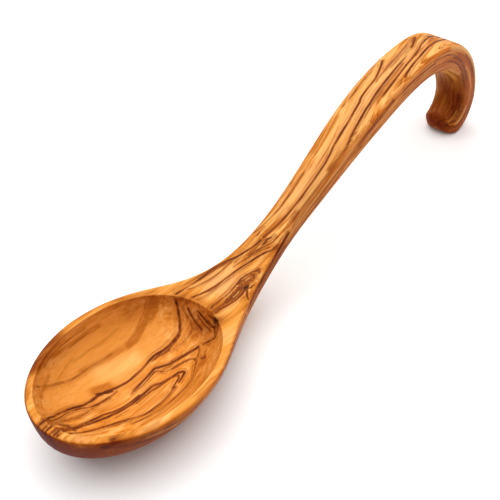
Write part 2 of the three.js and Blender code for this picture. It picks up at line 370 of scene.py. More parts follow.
# Where the wood's figure runs, in millimetres: (x, y) in plan on the bowl and neck, (along, y) on the top
# of the handle, (along, girth) on the right side
figure = {
    # bowl and neck: darkness, half width, points (x, y)
    "bowlVeins": {
        "main nose": (0.95, 0.5, (
            (-150.3, 2.4), (-147.3, 2.5), (-146.5, 4), (-145, 5.4), (-143.4, 6.8), (-141, 8),
            (-136.3, 9.1), (-132.2, 9.6), (-130, 9.55), (-125.7, 8.6), (-121.6, 8.7))),
        "main": (0.92, 0.56, (
            (-124, 8.5), (-121.6, 8.7), (-118.5, 9.1), (-114.5, 8.6), (-110.5, 7.3), (-107, 6.6),
            (-104, 6.2), (-97, 6.1), (-92, 6.6), (-89.5, 6.4), (-85.1, 4.8), (-80.8, 4), (-78.3, 3.9),
            (-76.4, 4.3), (-74.5, 5.6), (-72.9, 7.4), (-71.4, 9.2), (-70.4, 11.2))),
        "main lower edge": (0.75, 0.4, (
            (-92, 5.5), (-89, 5), (-86.4, 3.8), (-84, 3.4), (-80, 3.2), (-77.5, 3.2), (-75.5, 4))),
        "main knot": (0.9, 0.5, (
            (-119.4, 9.2), (-118.2, 9.8), (-116.6, 9.3), (-114.4, 7.8), (-111.4, 6.8))),
        "companion": (0.75, 0.45, (
            (-145, 4.6), (-142.8, 6), (-140.1, 6.7), (-137.2, 7.6), (-134.5, 8.3), (-131, 8.6),
            (-127.5, 7.9), (-125.1, 7), (-122.8, 6.4), (-119.8, 6), (-113.9, 5.8), (-110, 6.1))),
        "brown strand": (0.5, 0.75, (
            (-150.4, 0.2), (-147.3, 0.5), (-146.2, 2.3), (-144.8, 3.5), (-143.1, 4.4), (-141.3, 5),
            (-138, 5.5), (-134.5, 5.4), (-131.6, 5.1), (-128.6, 5.2), (-125.7, 5.6), (-120.1, 5.4),
            (-117.5, 5.2), (-114.2, 5))),
        "nose tangle": (0.75, 0.5, ((-141.4, 4.8), (-140, 3.7), (-138.6, 2.9), (-136.8, 2.2))),
        "nose tangle two": (0.7, 0.5, ((-140.2, 2), (-139.2, 0.6), (-138.4, -0.4), (-137, -1))),
        "upper strand": (0.8, 0.5, (
            (-150.4, -1.2), (-147.3, -1.2), (-145.7, 0.5), (-143, 1.6), (-139, 1.6), (-135.7, 1),
            (-132.2, 1.2), (-127.5, 1.2), (-123.1, 0.8), (-121.4, 0.2), (-119.5, -0.6), (-115.7, -1.4),
            (-112, -1.7), (-106, -1.9))),
        "hairpin upper": (0.8, 0.6, (
            (-150.2, -3.3), (-147.2, -3.2), (-145.4, -1.3), (-143.9, 0.1), (-139, 0.6), (-134.2, 0.5),
            (-129.8, 0.1), (-125.4, -0.6), (-121, -1.5), (-117, -2.2), (-112, -2.7), (-105.7, -2.6),
            (-100.8, -2.6), (-99, -3.2), (-97.8, -4.4), (-95.2, -5.3), (-92, -6.3), (-90, -7.2),
            (-89, -8.4), (-89.2, -9.4), (-91.6, -10.1), (-95, -10.7))),
        "hairpin lower": (0.7, 0.65, (
            (-95, -10.7), (-100, -11.4), (-105.7, -11.7), (-111, -11.3), (-114.2, -10.5), (-117, -9),
            (-119, -7.9), (-122.8, -5.9), (-127.5, -4.5), (-132.2, -3.4), (-136.9, -2.5), (-140, -1.6),
            (-144, -2.6), (-147, -4.4), (-150, -4.6))),
        "hairpin inner": (0.7, 0.45, (
            (-112, -3.8), (-103, -3.8), (-98.6, -5), (-94, -6), (-92, -7), (-91.3, -8), (-92.2, -8.9),
            (-95, -9.6), (-98.4, -10.3))),
        "hairpin heart": (0.4, 0.6, ((-127.5, -2.6), (-124, -3), (-119, -3.6), (-114, -4))),
        "outer hairpin": (0.6, 0.5, (
            (-110, 1), (-102.6, 0.7), (-97, 1.2), (-95, 1.4), (-93.8, 0.6), (-93.3, -0.7), (-92.4, -2),
            (-88.6, -4), (-85.4, -5.6), (-83.4, -7.2), (-82.6, -8.8), (-83.4, -10.4), (-86, -12),
            (-88.5, -13.6), (-91, -14.7), (-95, -15.1), (-102, -14.9), (-109, -14.2), (-116, -12.2),
            (-121.6, -10.3))),
        "neck hairpin": (0.9, 0.5, (
            (-108, 1.5), (-101, 2), (-96.4, 2.4), (-93.8, 2.6), (-92.2, 1.4), (-88.6, -1.2),
            (-85.1, -2.7), (-81.4, -4.7), (-78.6, -6.6), (-77.2, -7.4))),
        "neck hairpin end": (0.75, 0.45, (
            (-77.2, -7.4), (-76, -8.8), (-75, -10.7), (-74, -12.4), (-72, -11.9), (-70.4, -11))),
        "neck hairpin side": (0.5, 0.5, ((-82.4, -9.8), (-80, -8.9), (-77.6, -7.6))),
        "neck hairpin spur": (0.6, 0.7, ((-82, -10.6), (-81.6, -12.4), (-80.4, -13.6))),
        "wall line": (0.5, 0.5, (
            (-85.8, 3.1), (-82, 1.5), (-79.2, 0.2), (-76, -0.4), (-73.6, 0), (-72, 2.1), (-71, 5.2),
            (-70.1, 8.7))),
        "wall line two": (0.8, 0.5, ((-72.6, -5), (-72, -2.9), (-71, 0.6), (-70.1, 3.7), (-69.2, 6.2))),
        "wall line three": (0.9, 0.5, (
            (-71, -11.3), (-70.9, -8.5), (-70.3, -6), (-69.2, -2.6), (-68.4, 2))),
        "wall line four": (0.7, 0.4, (
            (-72.6, -9.4), (-71.6, -7.4), (-70.9, -4.6), (-70, -1.6), (-69, 1.6))),
        "wall cluster": (0.95, 0.45, (
            (-71.6, -12.2), (-70.2, -11), (-69.5, -8.8), (-68.8, -6.4), (-68.3, -3.6))),
        "wall cluster two": (0.9, 0.4, (
            (-73.4, -11.4), (-71.6, -10.4), (-70.7, -8.4), (-70, -6.4), (-69.2, -4))),
        "rim left edge": (0.42, 0.7, (
            (-134, 24.6), (-130, 26.4), (-125, 28.2), (-119, 29.8), (-112, 30.8))),
        "rim left front": (0.36, 0.6, ((-147.6, 13.2), (-143.6, 17), (-140, 19.8), (-136, 22.4))),
        "rim left rear": (0.32, 0.6, ((-106, 30.6), (-98, 30), (-91, 28.4), (-84, 25.4))),
        "rim right patch": (0.5, 1.0, ((-139.6, -19.8), (-136.6, -22.2))),
        # these two lines are partly painted shade under the left lip, over amber wood
        "under the rim": (0.45, 0.45, (
            (-130, 23.2), (-124.9, 25.3), (-121.9, 26.2), (-117.4, 27.1), (-112.9, 27.6), (-108.4, 27.7),
            (-103, 27.6))),
        "under the rim two": (0.36, 0.45, (
            (-126, 23.8), (-121, 25.2), (-115, 26.3), (-109, 26.7), (-103, 26.6))),
        "floor line": (0.42, 0.5, ((-134, -4.4), (-127, -6), (-121, -8.2), (-115, -11))),
        "upper amber": (0.42, 0.5, (
            (-138, 18.4), (-135, 19.1), (-131, 19.2), (-127, 19.3), (-122, 18.8), (-117, 18.9),
            (-112, 19.2), (-106, 18.7), (-100, 18))),
        "neck first": (0.85, 0.5, (
            (-70.4, 11.9), (-66, 11.5), (-62, 11), (-55, 10.6), (-50, 10.2), (-46, 9.3), (-42, 7.9),
            (-39.4, 6.2), (-37.4, 5), (-35, 4), (-32, 2.7), (-29, 1.7), (-26, 1.1))),
        "neck smear": (0.5, 1.0, ((-58, 10.6), (-53, 10.2), (-48, 9), (-44, 7.8), (-40, 6), (-37, 4.6))),
        "neck second": (0.6, 0.4, (
            (-64.5, 10.2), (-62, 9.4), (-58, 8.4), (-54, 7.2), (-50, 6.6), (-46, 6.2), (-43, 6),
            (-40, 5.2))),
        "neck third": (0.85, 0.45, (
            (-67.5, 5.8), (-64, 4.9), (-60, 3.7), (-55, 2.6), (-50, 2.2), (-45, 1.5), (-40, 0),
            (-36, -1.5), (-33, -2.8), (-30.5, -4.2), (-29, -5.5), (-28, -6.8))),
        "neck soft": (0.4, 0.6, ((-67.4, 3.2), (-63, 2.2), (-59, 1.5), (-52, 1.3), (-47, 0.9))),
        "neck outer": (0.35, 0.7, ((-70, 14.6), (-64, 13.4), (-58, 12.4), (-52, 11.4), (-46, 9.8))),
        "burl upper": (0.85, 0.45, (
            (-67.7, -4.7), (-65, -4), (-60, -4.1), (-55, -4), (-50, -3.6), (-46, -3.2), (-43, -4),
            (-40.5, -5), (-39, -6.4), (-37, -7))),
        "burl lower": (0.85, 0.45, (
            (-68.5, -7.4), (-64, -7.5), (-60, -8.2), (-56, -8.8), (-52, -8.7), (-49.5, -8.2), (-48, -8))),
        "burl leaf upper": (0.7, 0.35, (
            (-61.5, -6.4), (-58, -5.6), (-54, -5.4), (-50, -5.2), (-46, -4.6), (-43.5, -5.2))),
        "burl leaf lower": (0.75, 0.35, (
            (-61.5, -6.4), (-58, -7.2), (-55.5, -7.8), (-52, -7.4), (-50, -6.6), (-47.5, -6.2))),
        "burl spur": (0.85, 0.5, (
            (-47.6, -8.2), (-49.8, -9.4), (-51.6, -10.8), (-52.6, -12), (-53, -13.4))),
        "burl root": (0.5, 1.0, ((-69, -6.2), (-64, -6), (-58, -6.4))),
        "burl fill": (0.42, 1.5, ((-60, -6.4), (-54, -6.6), (-49, -6.6), (-45, -6.2), (-41.4, -6.8))),
        "burl zigzag": (0.75, 0.35, (
            (-52, -5), (-51, -6.4), (-50.4, -5), (-49.2, -6.8), (-48.4, -5.2), (-47, -7), (-46, -5),
            (-44.6, -7.2), (-43.4, -5.4), (-42, -7.4), (-41, -6))),
        "second burl fill": (0.4, 1.2, ((-35, 0), (-30, -1.2), (-26, -1.8), (-21, -3.4))),
        "burl ray": (0.95, 0.45, ((-49.6, -7.4), (-48, -8.4), (-46.4, -7.2), (-45, -5.8))),
        "burl ray two": (0.85, 0.42, ((-48.4, -8.4), (-47.4, -9.6), (-46, -9.2), (-45, -10.2))),
        "burl chevron": (0.85, 0.45, ((-44.4, -4.4), (-45.2, -6), (-44, -7.4), (-44.8, -8.6))),
        "burl chevron two": (0.85, 0.45, ((-42.4, -4.4), (-41.4, -6.4), (-43, -7.8), (-42.4, -9))),
        "burl chevron three": (0.8, 0.45, ((-39.8, -5.4), (-38.8, -7.2), (-40.6, -8.6))),
        "burl leaf middle": (0.75, 0.36, ((-60, -6.4), (-57, -6.3), (-54, -6.6), (-51, -6), (-48, -5.6))),
        "burl leaf tip": (0.7, 0.4, ((-50, -4.4), (-47, -4), (-44, -5), (-42, -5.6), (-40, -7))),
        "burl fork": (0.75, 0.4, ((-52, -8), (-50, -7.2), (-48.6, -7.8), (-47.6, -6.8), (-46, -6.4))),
        "second burl": (0.7, 0.45, (
            (-36, 1.9), (-32.3, 0.1), (-29.9, -1.2), (-27.4, -2.8), (-25, -4), (-21, -4.5))),
        "second burl star": (0.8, 0.45, (
            (-29, -0.5), (-27.4, -1.2), (-25.6, -0.8), (-24.6, -1.8), (-23, -2.6))),
        "neck rise": (0.6, 0.4, (
            (-44, 3.4), (-40, 2.6), (-36, 0.9), (-33, -0.4), (-30, -2.2), (-27, -5))),
        "neck rise two": (0.55, 0.36, (
            (-42, 4.8), (-38, 3.8), (-34, 2), (-31, 1), (-28, 0.4), (-24, -0.6))),
        "second burl ray": (0.6, 0.35, ((-28.4, -2.4), (-26.6, -1.6), (-25.6, -2.8), (-23.6, -3.4))),
        "left nick": (0.7, 0.4, ((-29.6, 7.3), (-28, 7.1), (-26.4, 6.7), (-24.6, 5.6), (-22.6, 4.8))),
        "left nick two": (0.5, 0.4, ((-27, 4.2), (-25.2, 3.8), (-23.4, 4.2), (-20, 3.4))),
    },
    # soft amber bands in the bowl and on the neck: darkness, half width, points (x, y)
    "bowlBands": {
        "left sweep": (0.85, 1.5, (
            (-97.5, 16.8), (-93, 16.3), (-89, 16.3), (-85, 16.9), (-80, 17.2), (-76.5, 18), (-73, 18.8))),
        "left sweep tail": (0.55, 1.2, (
            (-93, 16.4), (-100.2, 17.6), (-106, 18.4), (-113, 19.3), (-119, 19.8))),
        "left sweep end": (0.75, 1.3, ((-84, 16.2), (-80, 16), (-76.4, 16.6), (-73, 17.2))),
        "left sweep upper": (0.75, 0.5, (
            (-94, 17.4), (-91, 17.4), (-88, 17.8), (-85, 18.4), (-81, 18.9), (-77.5, 19.8))),
        "left sweep lower": (0.75, 0.5, ((-93, 15), (-90, 15), (-87, 15.7), (-84, 15.6))),
        "left line": (0.42, 0.8, (
            (-138, 18), (-134, 18.6), (-127, 18.8), (-120, 18.3), (-112, 18.6), (-104, 17.8))),
        "left shade": (0.15, 2.2, ((-120.2, 17), (-119, 14.4), (-117, 12.6))),
        "above the main vein": (0.85, 1.5, ((-122, 12), (-117, 11.4), (-113, 10.2), (-108, 8.2))),
        "above the main vein tip": (0.5, 0.9, ((-120.4, 11.8), (-118.4, 12.6), (-115.6, 11.9))),
        # partly painted shade under the left lip, over amber wood
        "under the rim": (0.65, 1.0, ((-126, 25.4), (-115, 26.6), (-105, 26.8), (-96, 26))),
        "left rim inside": (0.6, 0.9, ((-141, 13), (-137, 16.8), (-132, 20.2), (-127, 22.6))),
        "left rim inside two": (0.4, 0.6, ((-131, 18.2), (-126, 20.6), (-120, 22.8), (-114, 24.2))),
        "rim streak": (0.45, 0.6, ((-118, 23), (-108, 23.4), (-98, 22.6), (-90, 22.4))),
        "inside the hairpin": (0.5, 2.2, ((-119, -5.6), (-112, -7), (-104, -7.6), (-96, -7.8))),
        "under the main vein": (0.28, 0.9, (
            (-136, 7), (-128, 6.6), (-120, 7), (-112, 6.6), (-104, 5), (-96, 4.8), (-90, 4.6))),
        "middle sweep": (0.4, 0.8, ((-128, 3.4), (-120, 3.2), (-112, 2.6), (-104, 2.6), (-97, 3))),
        "wall sweep": (0.5, 0.9, ((-84, 2), (-79, 1), (-75, 1), (-73, 2.4))),
        "lower sweep": (0.55, 0.9, (
            (-112, -14.4), (-105, -15), (-97, -15.6), (-92, -15.2), (-88.4, -13.8), (-85.4, -12))),
        "lower sweep two": (0.65, 1.1, (
            (-122, -14), (-112, -16.2), (-102, -17.2), (-93, -17.2), (-86, -16.2))),
        "nose sweep": (0.6, 1.2, ((-146, -7.6), (-143, -6.4), (-138, -4.6), (-132, -5.8), (-127, -8))),
        "floor right": (0.5, 1.4, (
            (-133, -4), (-126, -5.6), (-121, -7.2), (-114, -10.8), (-106, -12.8), (-98, -13.4))),
        # partly painted shade on the hollow's end wall by the neck, over darker amber wood
        "neck wall": (0.5, 1.8, ((-74, 3), (-72, -1), (-71, -4), (-72, -8), (-74, -11))),
        "neck leaf": (0.85, 1.7, (
            (-59, -6.6), (-54, -6.4), (-49, -6.4), (-45, -6), (-41.6, -6.6), (-39, -7.4))),
        "neck leaf root": (0.85, 1.9, ((-72, -5), (-64, -5.2), (-55, -6.2))),
        "second burl": (0.8, 1.3, ((-31, -0.8), (-27, -1.4), (-23.6, -2.6))),
        "neck fan": (0.65, 1.1, ((-36, 0.4), (-31, -2), (-27, -4.4), (-24, -5.6))),
        "neck rise": (0.55, 1.2, ((-44, 4.4), (-39, 3), (-34, 0.8), (-30, -0.6))),
        "neck rise left": (0.5, 0.9, ((-38, 6.6), (-32, 5), (-27, 4.6), (-22, 3.8))),
        "neck left": (0.45, 1.0, ((-64, 13), (-57, 12), (-51, 10.6), (-45, 8.8), (-40, 7))),
        "rim nose": (0.75, 1.3, ((-149.6, -8.2), (-149, -9.4), (-148.2, -10.6))),
        "rim ray": (0.75, 0.5, ((-145.8, -8), (-149.6, -8.5))),
        "rim ray two": (0.6, 0.6, ((-144.8, -10.6), (-148.6, -11.3))),
        "rim ray three": (0.7, 0.6, ((-143.4, -13.2), (-147.2, -14))),
        "rim ray four": (0.6, 0.5, ((-141.6, -15.4), (-145.6, -16.6))),
        "rim ray five": (0.65, 0.7, ((-138.8, -18), (-142.6, -19.6))),
        "rim ray six": (0.5, 0.6, ((-134.6, -20.8), (-139, -22.4))),
        "rim right": (0.7, 0.9, ((-145.4, -16), (-143, -18.6))),
        "rim right two": (0.5, 0.8, ((-140, -20.4), (-136.4, -22.6))),
        "rim right three": (0.55, 0.9, ((-131, -25.4), (-126, -27.4), (-120, -28.8))),
        "rim right four": (0.45, 1.0, ((-108, -30.4), (-100, -30.2), (-92, -28.8))),
        "rim left far": (0.45, 0.8, ((-124, 28), (-116, 29.8), (-106, 30.4), (-96, 29.8))),
        "rim left neck": (0.5, 1.1, ((-90, 27.4), (-84, 24.6), (-77, 20.8), (-71, 17.4))),
        "rim left": (0.8, 1.1, ((-147.6, 13.2), (-145, 15.2), (-142.4, 17), (-139.6, 19.2))),
        "rim left two": (0.75, 1.0, ((-137, 21.4), (-133.6, 23.4))),
        "rim left three": (0.8, 0.9, ((-131, 24.2), (-127, 25.4), (-122, 26.8))),
        "rim left four": (0.6, 0.8, ((-125, 27.4), (-119, 28.4), (-112, 29.4))),
    },
    # handle and hook: darkness, half width, points (along, y)
    "handleVeins": {
        "main": (0.85, 0.5, (
            (125.3, 1.3), (130, -0.1), (135, -1.3), (140, -2), (150, -2.8), (160, -3.1), (169, -3.1),
            (174, -2.4), (178, -1.5), (186, -0.9), (192, -0.5), (197, 0.4), (203, 1.2), (206, 2.2),
            (212, 2.6), (219, 2.9), (223, 4), (227, 5.2), (230, 6.5), (233, 8))),
        "main soft": (0.35, 0.6, (
            (128, 2), (135, 0.9), (145, 0.4), (155, 0.2), (165, -0.4), (175, 0), (185, 1))),
        "middle soft": (0.3, 0.45, (
            (138, -3.6), (148, -4.3), (160, -4.6), (172, -4.9), (182, -3.6), (192, -2.2))),
        "left soft": (0.4, 0.55, ((136, 5.9), (150, 5.7), (165, 6), (178, 6.8), (192, 7.6))),
        "right edge": (0.9, 0.55, (
            (122, -5.8), (126, -6.4), (132, -6.6), (136, -6.4), (140, -5.7), (150, -5.8), (160, -6.3),
            (165, -6.8), (172, -7.3), (180, -7), (185, -5.9), (190, -5.1), (195, -4.5), (200, -3.7),
            (205, -3.2), (215, -2.1), (225, -1.5), (235, -0.5), (240, 0.2), (244, 1.3), (250, 2.1),
            (253, 3.4), (257, 5), (260, 6.6))),
        "right second": (0.5, 0.45, (
            (186, -7.2), (194, -5.8), (203, -4.8), (214, -3.6), (226, -2.9), (236, -1.9))),
        "grip": (0.85, 0.5, (
            (210, -6.3), (215, -5.7), (225, -5), (235, -3.7), (240, -3.3), (245, -2.6), (250, -1.5),
            (254.4, -0.1), (258, 0.5), (261.4, 1.3), (266, 2))),
        "grip right": (0.9, 0.55, (
            (225, -8.2), (230, -7), (235.5, -6.2), (245, -5.1), (254.4, -4), (260, -3.5), (269, -3.6),
            (276, -4.2))),
        "grip inner": (0.45, 0.4, ((243, -3.6), (251, -2.6), (257, -1.4), (263, -0.6), (268, 0.2))),
        "grip left": (0.55, 0.45, (
            (216, 1.2), (222, 2.2), (230, 2.7), (240, 3.4), (245, 4.2), (250, 5.2), (253, 6.6),
            (256, 7.6))),
        "grip left two": (0.5, 0.45, (
            (228, 0.8), (238, 1.7), (246, 2.8), (252, 4.4), (256, 6), (259, 7.6))),
        "left edge": (0.55, 0.5, (
            (196, 6.6), (208, 6.5), (214, 6.8), (221, 7.1), (225, 7.9), (229, 8.8))),
        "neck left": (0.6, 0.5, (
            (126.5, 9), (126, 7), (127.2, 5.6), (130, 4.9), (135, 3.8), (141, 2.9), (150, 2.6),
            (162, 2.9))),
        "hook arc": (0.6, 0.9, ((269, -0.8), (275, 0.6), (282, 3), (288, 6.5), (291, 9))),
        "hook arc two": (0.6, 0.8, ((270, -3.8), (278, -2), (285, 1), (291, 5), (295, 9))),
    },
    # soft amber bands on the handle: darkness, half width, points (along, y)
    "handleBands": {
        "left": (0.65, 1.3, ((168, 5.4), (174, 5), (180, 4.8), (187, 5.4), (196, 6))),
        "middle": (0.35, 1.0, ((140, -1), (150, -1.8), (162, -2), (176, -0.4))),
        "right": (0.45, 0.9, ((150, -5.2), (164, -5.8), (178, -6), (190, -4.2), (204, -2.4))),
        "grip": (0.45, 0.9, ((214, -4.8), (228, -4.2), (240, -2.4), (252, -0.4), (262, 2))),
        "crest": (0.6, 1.5, ((252, 4.6), (258, 5.6), (264, 5.4), (270, 3.4))),
        "crest right": (0.4, 1.2, ((256, -2.6), (264, -1.6), (272, -1.2))),
    },
    # right side of the neck, handle and hook: darkness, half width, points (along, girth)
    "sideVeins": {
        "neck arris": (0.75, 0.9, (
            (94, 3.4), (98, 2.2), (104, 1.6), (112, 1.8), (120, 2), (128, 1.8), (135, 1.2))),
        "neck arris low": (0.6, 0.7, ((96, 6), (104, 4.6), (112, 4), (120, 4.4), (130, 5))),
        "neck low": (0.5, 0.6, ((90, 10), (100, 8), (110, 6.8), (120, 6.6), (130, 7.6), (140, 9))),
        "shoulder": (0.65, 0.5, ((58, 1.6), (70, 1.6), (82, 2), (94, 3.2))),
        "shoulder low": (0.5, 0.5, ((64, 4.6), (76, 4.6), (90, 5))),
        "bowl sweep": (0.85, 0.6, ((8, 2.4), (16, 4.4), (26, 7), (36, 9.4), (46, 10.6))),
        "bowl sweep two": (0.8, 0.55, ((16, 1.6), (26, 3.2), (36, 4.6), (42, 4), (48, 2.4))),
        "bowl sweep three": (0.75, 0.6, ((40, 9), (50, 6.8), (60, 5.4), (72, 4.8), (86, 5))),
        "bowl sweep four": (0.65, 0.6, ((30, 13), (44, 13.4), (58, 11), (72, 8.6), (88, 7.8))),
        "dark patch": (0.5, 1.2, ((184, 5), (196, 4.2), (207, 3.6), (215, 2.6))),
        "grip line": (0.65, 0.4, ((220, 3.4), (232, 3.9), (242, 4.5), (252, 5.2))),
        "grip line two": (0.5, 0.4, ((216, 5.8), (230, 5.8), (246, 6.6), (258, 7.6))),
        "grip line three": (0.5, 0.45, ((248, 3.4), (262, 4.6), (276, 5.8), (290, 7.4))),
        "bend": (0.75, 0.4, ((266, 8.4), (282, 9.2), (296, 10.6), (310, 11.8), (322, 12.6))),
        "bend two": (0.65, 0.4, ((272, 6.8), (288, 7.6), (302, 9.4), (314, 10.6), (326, 11))),
        "bend upper": (0.6, 0.45, ((288, 3.4), (300, 4.2), (316, 4.4), (332, 4.6), (348, 5))),
        "rib one": (0.65, 0.5, ((326, 15.4), (330, 12.8))),
        "rib two": (0.65, 0.5, ((330, 15.8), (334, 13.2))),
        "rib three": (0.65, 0.5, ((334, 16), (338, 13.4))),
        "rib four": (0.6, 0.5, ((338, 16.2), (342, 13.6))),
        "rib five": (0.6, 0.5, ((342, 16.2), (346, 13.8))),
        "toe loop": (0.55, 0.4, (
            (326, 6.8), (342, 6.9), (354, 7.2), (362, 8), (367.4, 9.6), (368, 11.6), (365, 14.6),
            (360, 16.4), (352, 17.2), (344, 17.4))),
        "toe loop two": (0.8, 0.4, (
            (338, 8.2), (350, 8.4), (360, 8.9), (365.4, 10), (363.6, 12), (360, 13.2), (352, 13.8),
            (344, 13.6))),
        "toe loop three": (0.6, 0.35, ((340, 11.6), (348, 11.8), (356, 11.9), (361, 11.7))),
        "toe loop four": (0.6, 0.35, ((340, 12.6), (348, 12.8), (356, 12.8), (361, 12.3))),
        "toe loop five": (0.7, 0.4, ((340, 15), (348, 15.1), (355, 14.8), (360, 13.8))),
    },
    # soft brown bands on the right side: darkness, half width, points (along, girth)
    "sideBands": {
        "bowl": (0.6, 1.6, ((20, 9), (32, 11), (46, 12), (60, 9.6))),
        "neck": (0.75, 1.8, ((95, 4), (104, 3), (114, 2.8), (124, 3.2), (132, 3.4))),
        "handle": (0.6, 1.5, ((150, 6.4), (170, 5.8), (185, 5.2), (200, 4.6))),
        "handle low": (0.45, 1.3, ((228, 10), (240, 11), (252, 12.2), (262, 12.6))),
        "bend": (0.85, 1.4, ((294, 4.4), (310, 5), (325, 5.2), (345, 5.4), (362, 6))),
        "leg": (0.75, 1.5, ((314, 9.6), (326, 9.4), (338, 10.2))),
        "inner edge": (0.8, 1.4, ((296, 12), (306, 13.4), (322, 14.2), (338, 14.8))),
    },
    # pale streaks: strength, half width, points as for the bands
    "bowlPales": {
        "neck": (0.35, 1.2, ((-60, -0.6), (-50, -1.2), (-42, -2.6), (-36, -4.6), (-32, -6))),
        "neck left": (0.5, 0.9, ((-64, 11.6), (-60, 9.6), (-54, 8.4), (-48, 7.4), (-44, 6.8))),
        "leaf": (0.5, 0.35, ((-57, -6.9), (-53, -7.1), (-50, -6.2))),
        "leaf two": (0.5, 0.35, ((-47, -5.2), (-44, -5.7), (-41.6, -6.3))),
        "under the main vein": (0.35, 0.8, ((-137, 6.8), (-133, 7.2), (-129, 6.8), (-125, 6.2))),
        "nose": (0.5, 0.8, ((-140, -3.2), (-134, -4.8), (-128, -6.6), (-124, -8.6))),
        # pale straw wood that also stands for the glow of light on the hollow's floor: partly a painted
        # sheen
        "bowl middle": (0.7, 3.2, ((-118, 16.4), (-110, 15), (-104, 13.4), (-97, 11.8), (-88, 10.4))),
        "bowl left": (0.25, 2.4, ((-122, 22), (-114, 21.8), (-107, 18.8), (-101, 15))),
    },
    "handlePales": {
        "low": (0.5, 1.5, ((142, 0.6), (150, 0.4), (158, 0.8), (166, 1.4))),
        "low right": (0.6, 1.0, ((142, -4.4), (150, -4.8), (158, -5.2), (168, -5.6))),
        "lower": (0.5, 0.7, ((150, -3.7), (160, -4), (170, -4.1), (178, -3.4), (188, -2), (198, -1))),
        "middle": (0.5, 0.8, ((186, 2.6), (196, 2.6), (206, 3.8), (216, 4.8), (224, 5.8))),
        "right": (0.45, 0.8, ((186, -7.8), (196, -7), (208, -7.4), (220, -7.2))),
        "upper": (0.5, 0.9, ((232, 5.6), (240, 6), (246, 6.6))),
        "grip": (0.6, 0.9, ((212, 0.4), (222, 0.2), (232, 0.2), (242, 1), (250, 2.8))),
        "crest": (0.35, 1.6, ((250, -6.6), (262, -6.4), (274, -6.6))),
    },
    "sidePales": {
        "bowl": (0.7, 0.8, ((20, 2.6), (30, 4.8), (40, 6.4), (48, 4.8), (56, 3.6), (66, 3))),
        "bowl low": (0.55, 0.7, ((24, 10.4), (36, 12), (50, 9.4), (62, 7.4), (76, 6.6))),
        "shoulder": (0.4, 1.0, ((60, 2.6), (72, 2.8), (84, 3), (92, 3.4))),
        "arris": (0.4, 0.8, ((138, 3.4), (155, 3), (170, 3), (184, 2.6))),
        "grip": (0.5, 0.5, ((216, 7), (230, 6.9), (244, 7.4))),
        "bend": (0.5, 0.8, ((296, 7.5), (306, 7.6), (320, 8))),
        "leg": (0.4, 0.7, ((324, 8.4), (334, 8.8), (344, 9.2))),
        "outer edge": (0.75, 1.2, ((264, 2), (276, 1.7), (290, 1.6), (305, 1.8), (320, 2), (336, 2.2))),
        "toe": (0.55, 1.2, ((338, 9.4), (346, 9.9), (354, 10.2), (361, 10.7))),
        "toe turn": (0.45, 0.5, (
            (363.6, 10.8), (363, 12.6), (361, 14.4), (356, 15.7), (350, 16.2), (344, 16.2))),
    },
    # veins that run over the rim at the nose and down the outer wall: y of each, then (x, d) down the wall
    "noseStripes": (2.4, 0.2, -1.2, -3.2, -4.5, -5.7),
    "noseWall": ((-147.3, 0), (-150.2, 0), (-150.6, 1.2), (-150.3, 4), (-149.2, 10), (-145.8, 16)),
    "noseDark": 0.85,
    "noseWidth": 0.4,
    "lineStep": 0.4,       # step between the points of a drawn line
    "lineReach": 6,        # a line counts for points up to this far along past its ends
    "veinSpread": 1.2,     # width of a vein's bell, in half widths
    "bandSpread": 1.25,    # the same for bands and pale streaks
    "veinFade": 1.2,       # a vein fades in over this much of its ends
    "bandFade": (1, 2.0),  # a band over this much, and this for each millimetre of its half width
    "nearReach": 2.0,      # how far the shade and strands of a vein reach
    "gapLimit": 6,         # distance to the nearest vein is counted up to this
    # distances are worked out for this many points of the skin and of a line at a time
    "pointBlock": 4000,
    "lineBlock": 120,
    # where the right side begins: along, girth
    "sideStart": ((60, 0.8), (90, 0.3)),
    # sideways drift of the fibres on the top: along, shift
    "flow": (
        (0, 0), (90, 0), (110, 2), (125, 1.4), (140, -2), (160, -3.1), (175, -2.4), (190, -0.6), (205, 2),
        (222, 3.8), (235, 6.5), (255, 10.5), (275, 15), (300, 19), (380, 19),
    ),
    "flowDepth": 3,        # the drift dies out this far below the top
    # contrast of the streaks: along, level
    "lively": ((0, 0.55), (80, 0.55), (110, 0.9), (130, 1.6), (160, 1.5), (300, 1.4), (380, 0.9)),
    "calmDrop": 0.55,      # what calm wood takes off the contrast
    "livelyRange": (0.12, 1.7),
    # red-brown of the bowl's outer wall, partly its wood and partly painted shade where the wall turns down
    # and away from the lamp, strongest at the nose: along, level
    "outerRedAndShade": ((0, 0.74), (20, 0.5), (45, 0.1), (70, 0.1), (90, 0.08), (110, 0)),
    "outerDepth": (0.2, 0.7),   # the red-brown and the painted shade set in between these depths
    # how ripe the ground colour is: along, level
    "ripe": (
        (0, 0.05), (70, 0.05), (95, 0.02), (125, 0.02), (140, -0.04), (245, -0.05), (262, 0.1), (295, 0.08),
        (315, 0.05), (380, 0.04),
    ),
    "toneRipe": 0.25,      # what a full tone adds to that
    "flankRipe": 0.12,     # what a reddened side adds to it
    # how far the sides are reddened: along, level, and way round from the top edge, level
    "flank": ((0, 0.5), (25, 0.8), (75, 0.9), (95, 0.7), (130, 0.7), (150, 0.5), (170, 1), (380, 1)),
    "flankGirth": ((0, 0), (0.2, 0.5), (0.9, 1), (11, 1), (15, 0)),
    "flankLimit": ((70, 10), (130, 40)),   # the way round counts up to this: along, girth
    # burls: along, y, d, radius along, radius across, strength
    "burls": (
        (102, -6, 1, 9, 5, 0.9), (124, -1, 1, 5, 3.5, 0.8), (77, -8.5, 6, 5, 5, 0.9),
        (11.5, 2, 10, 3, 3, 0.7), (268, 2.4, 0, 5, 3, 0.7),
    ),
    # dark spots of the figure: along, y, d, radius along, radius across, strength; the last two, on the
    # hook's inner face, are painted shade in its corner with the curled side
    "darkSpotsAndShade": (
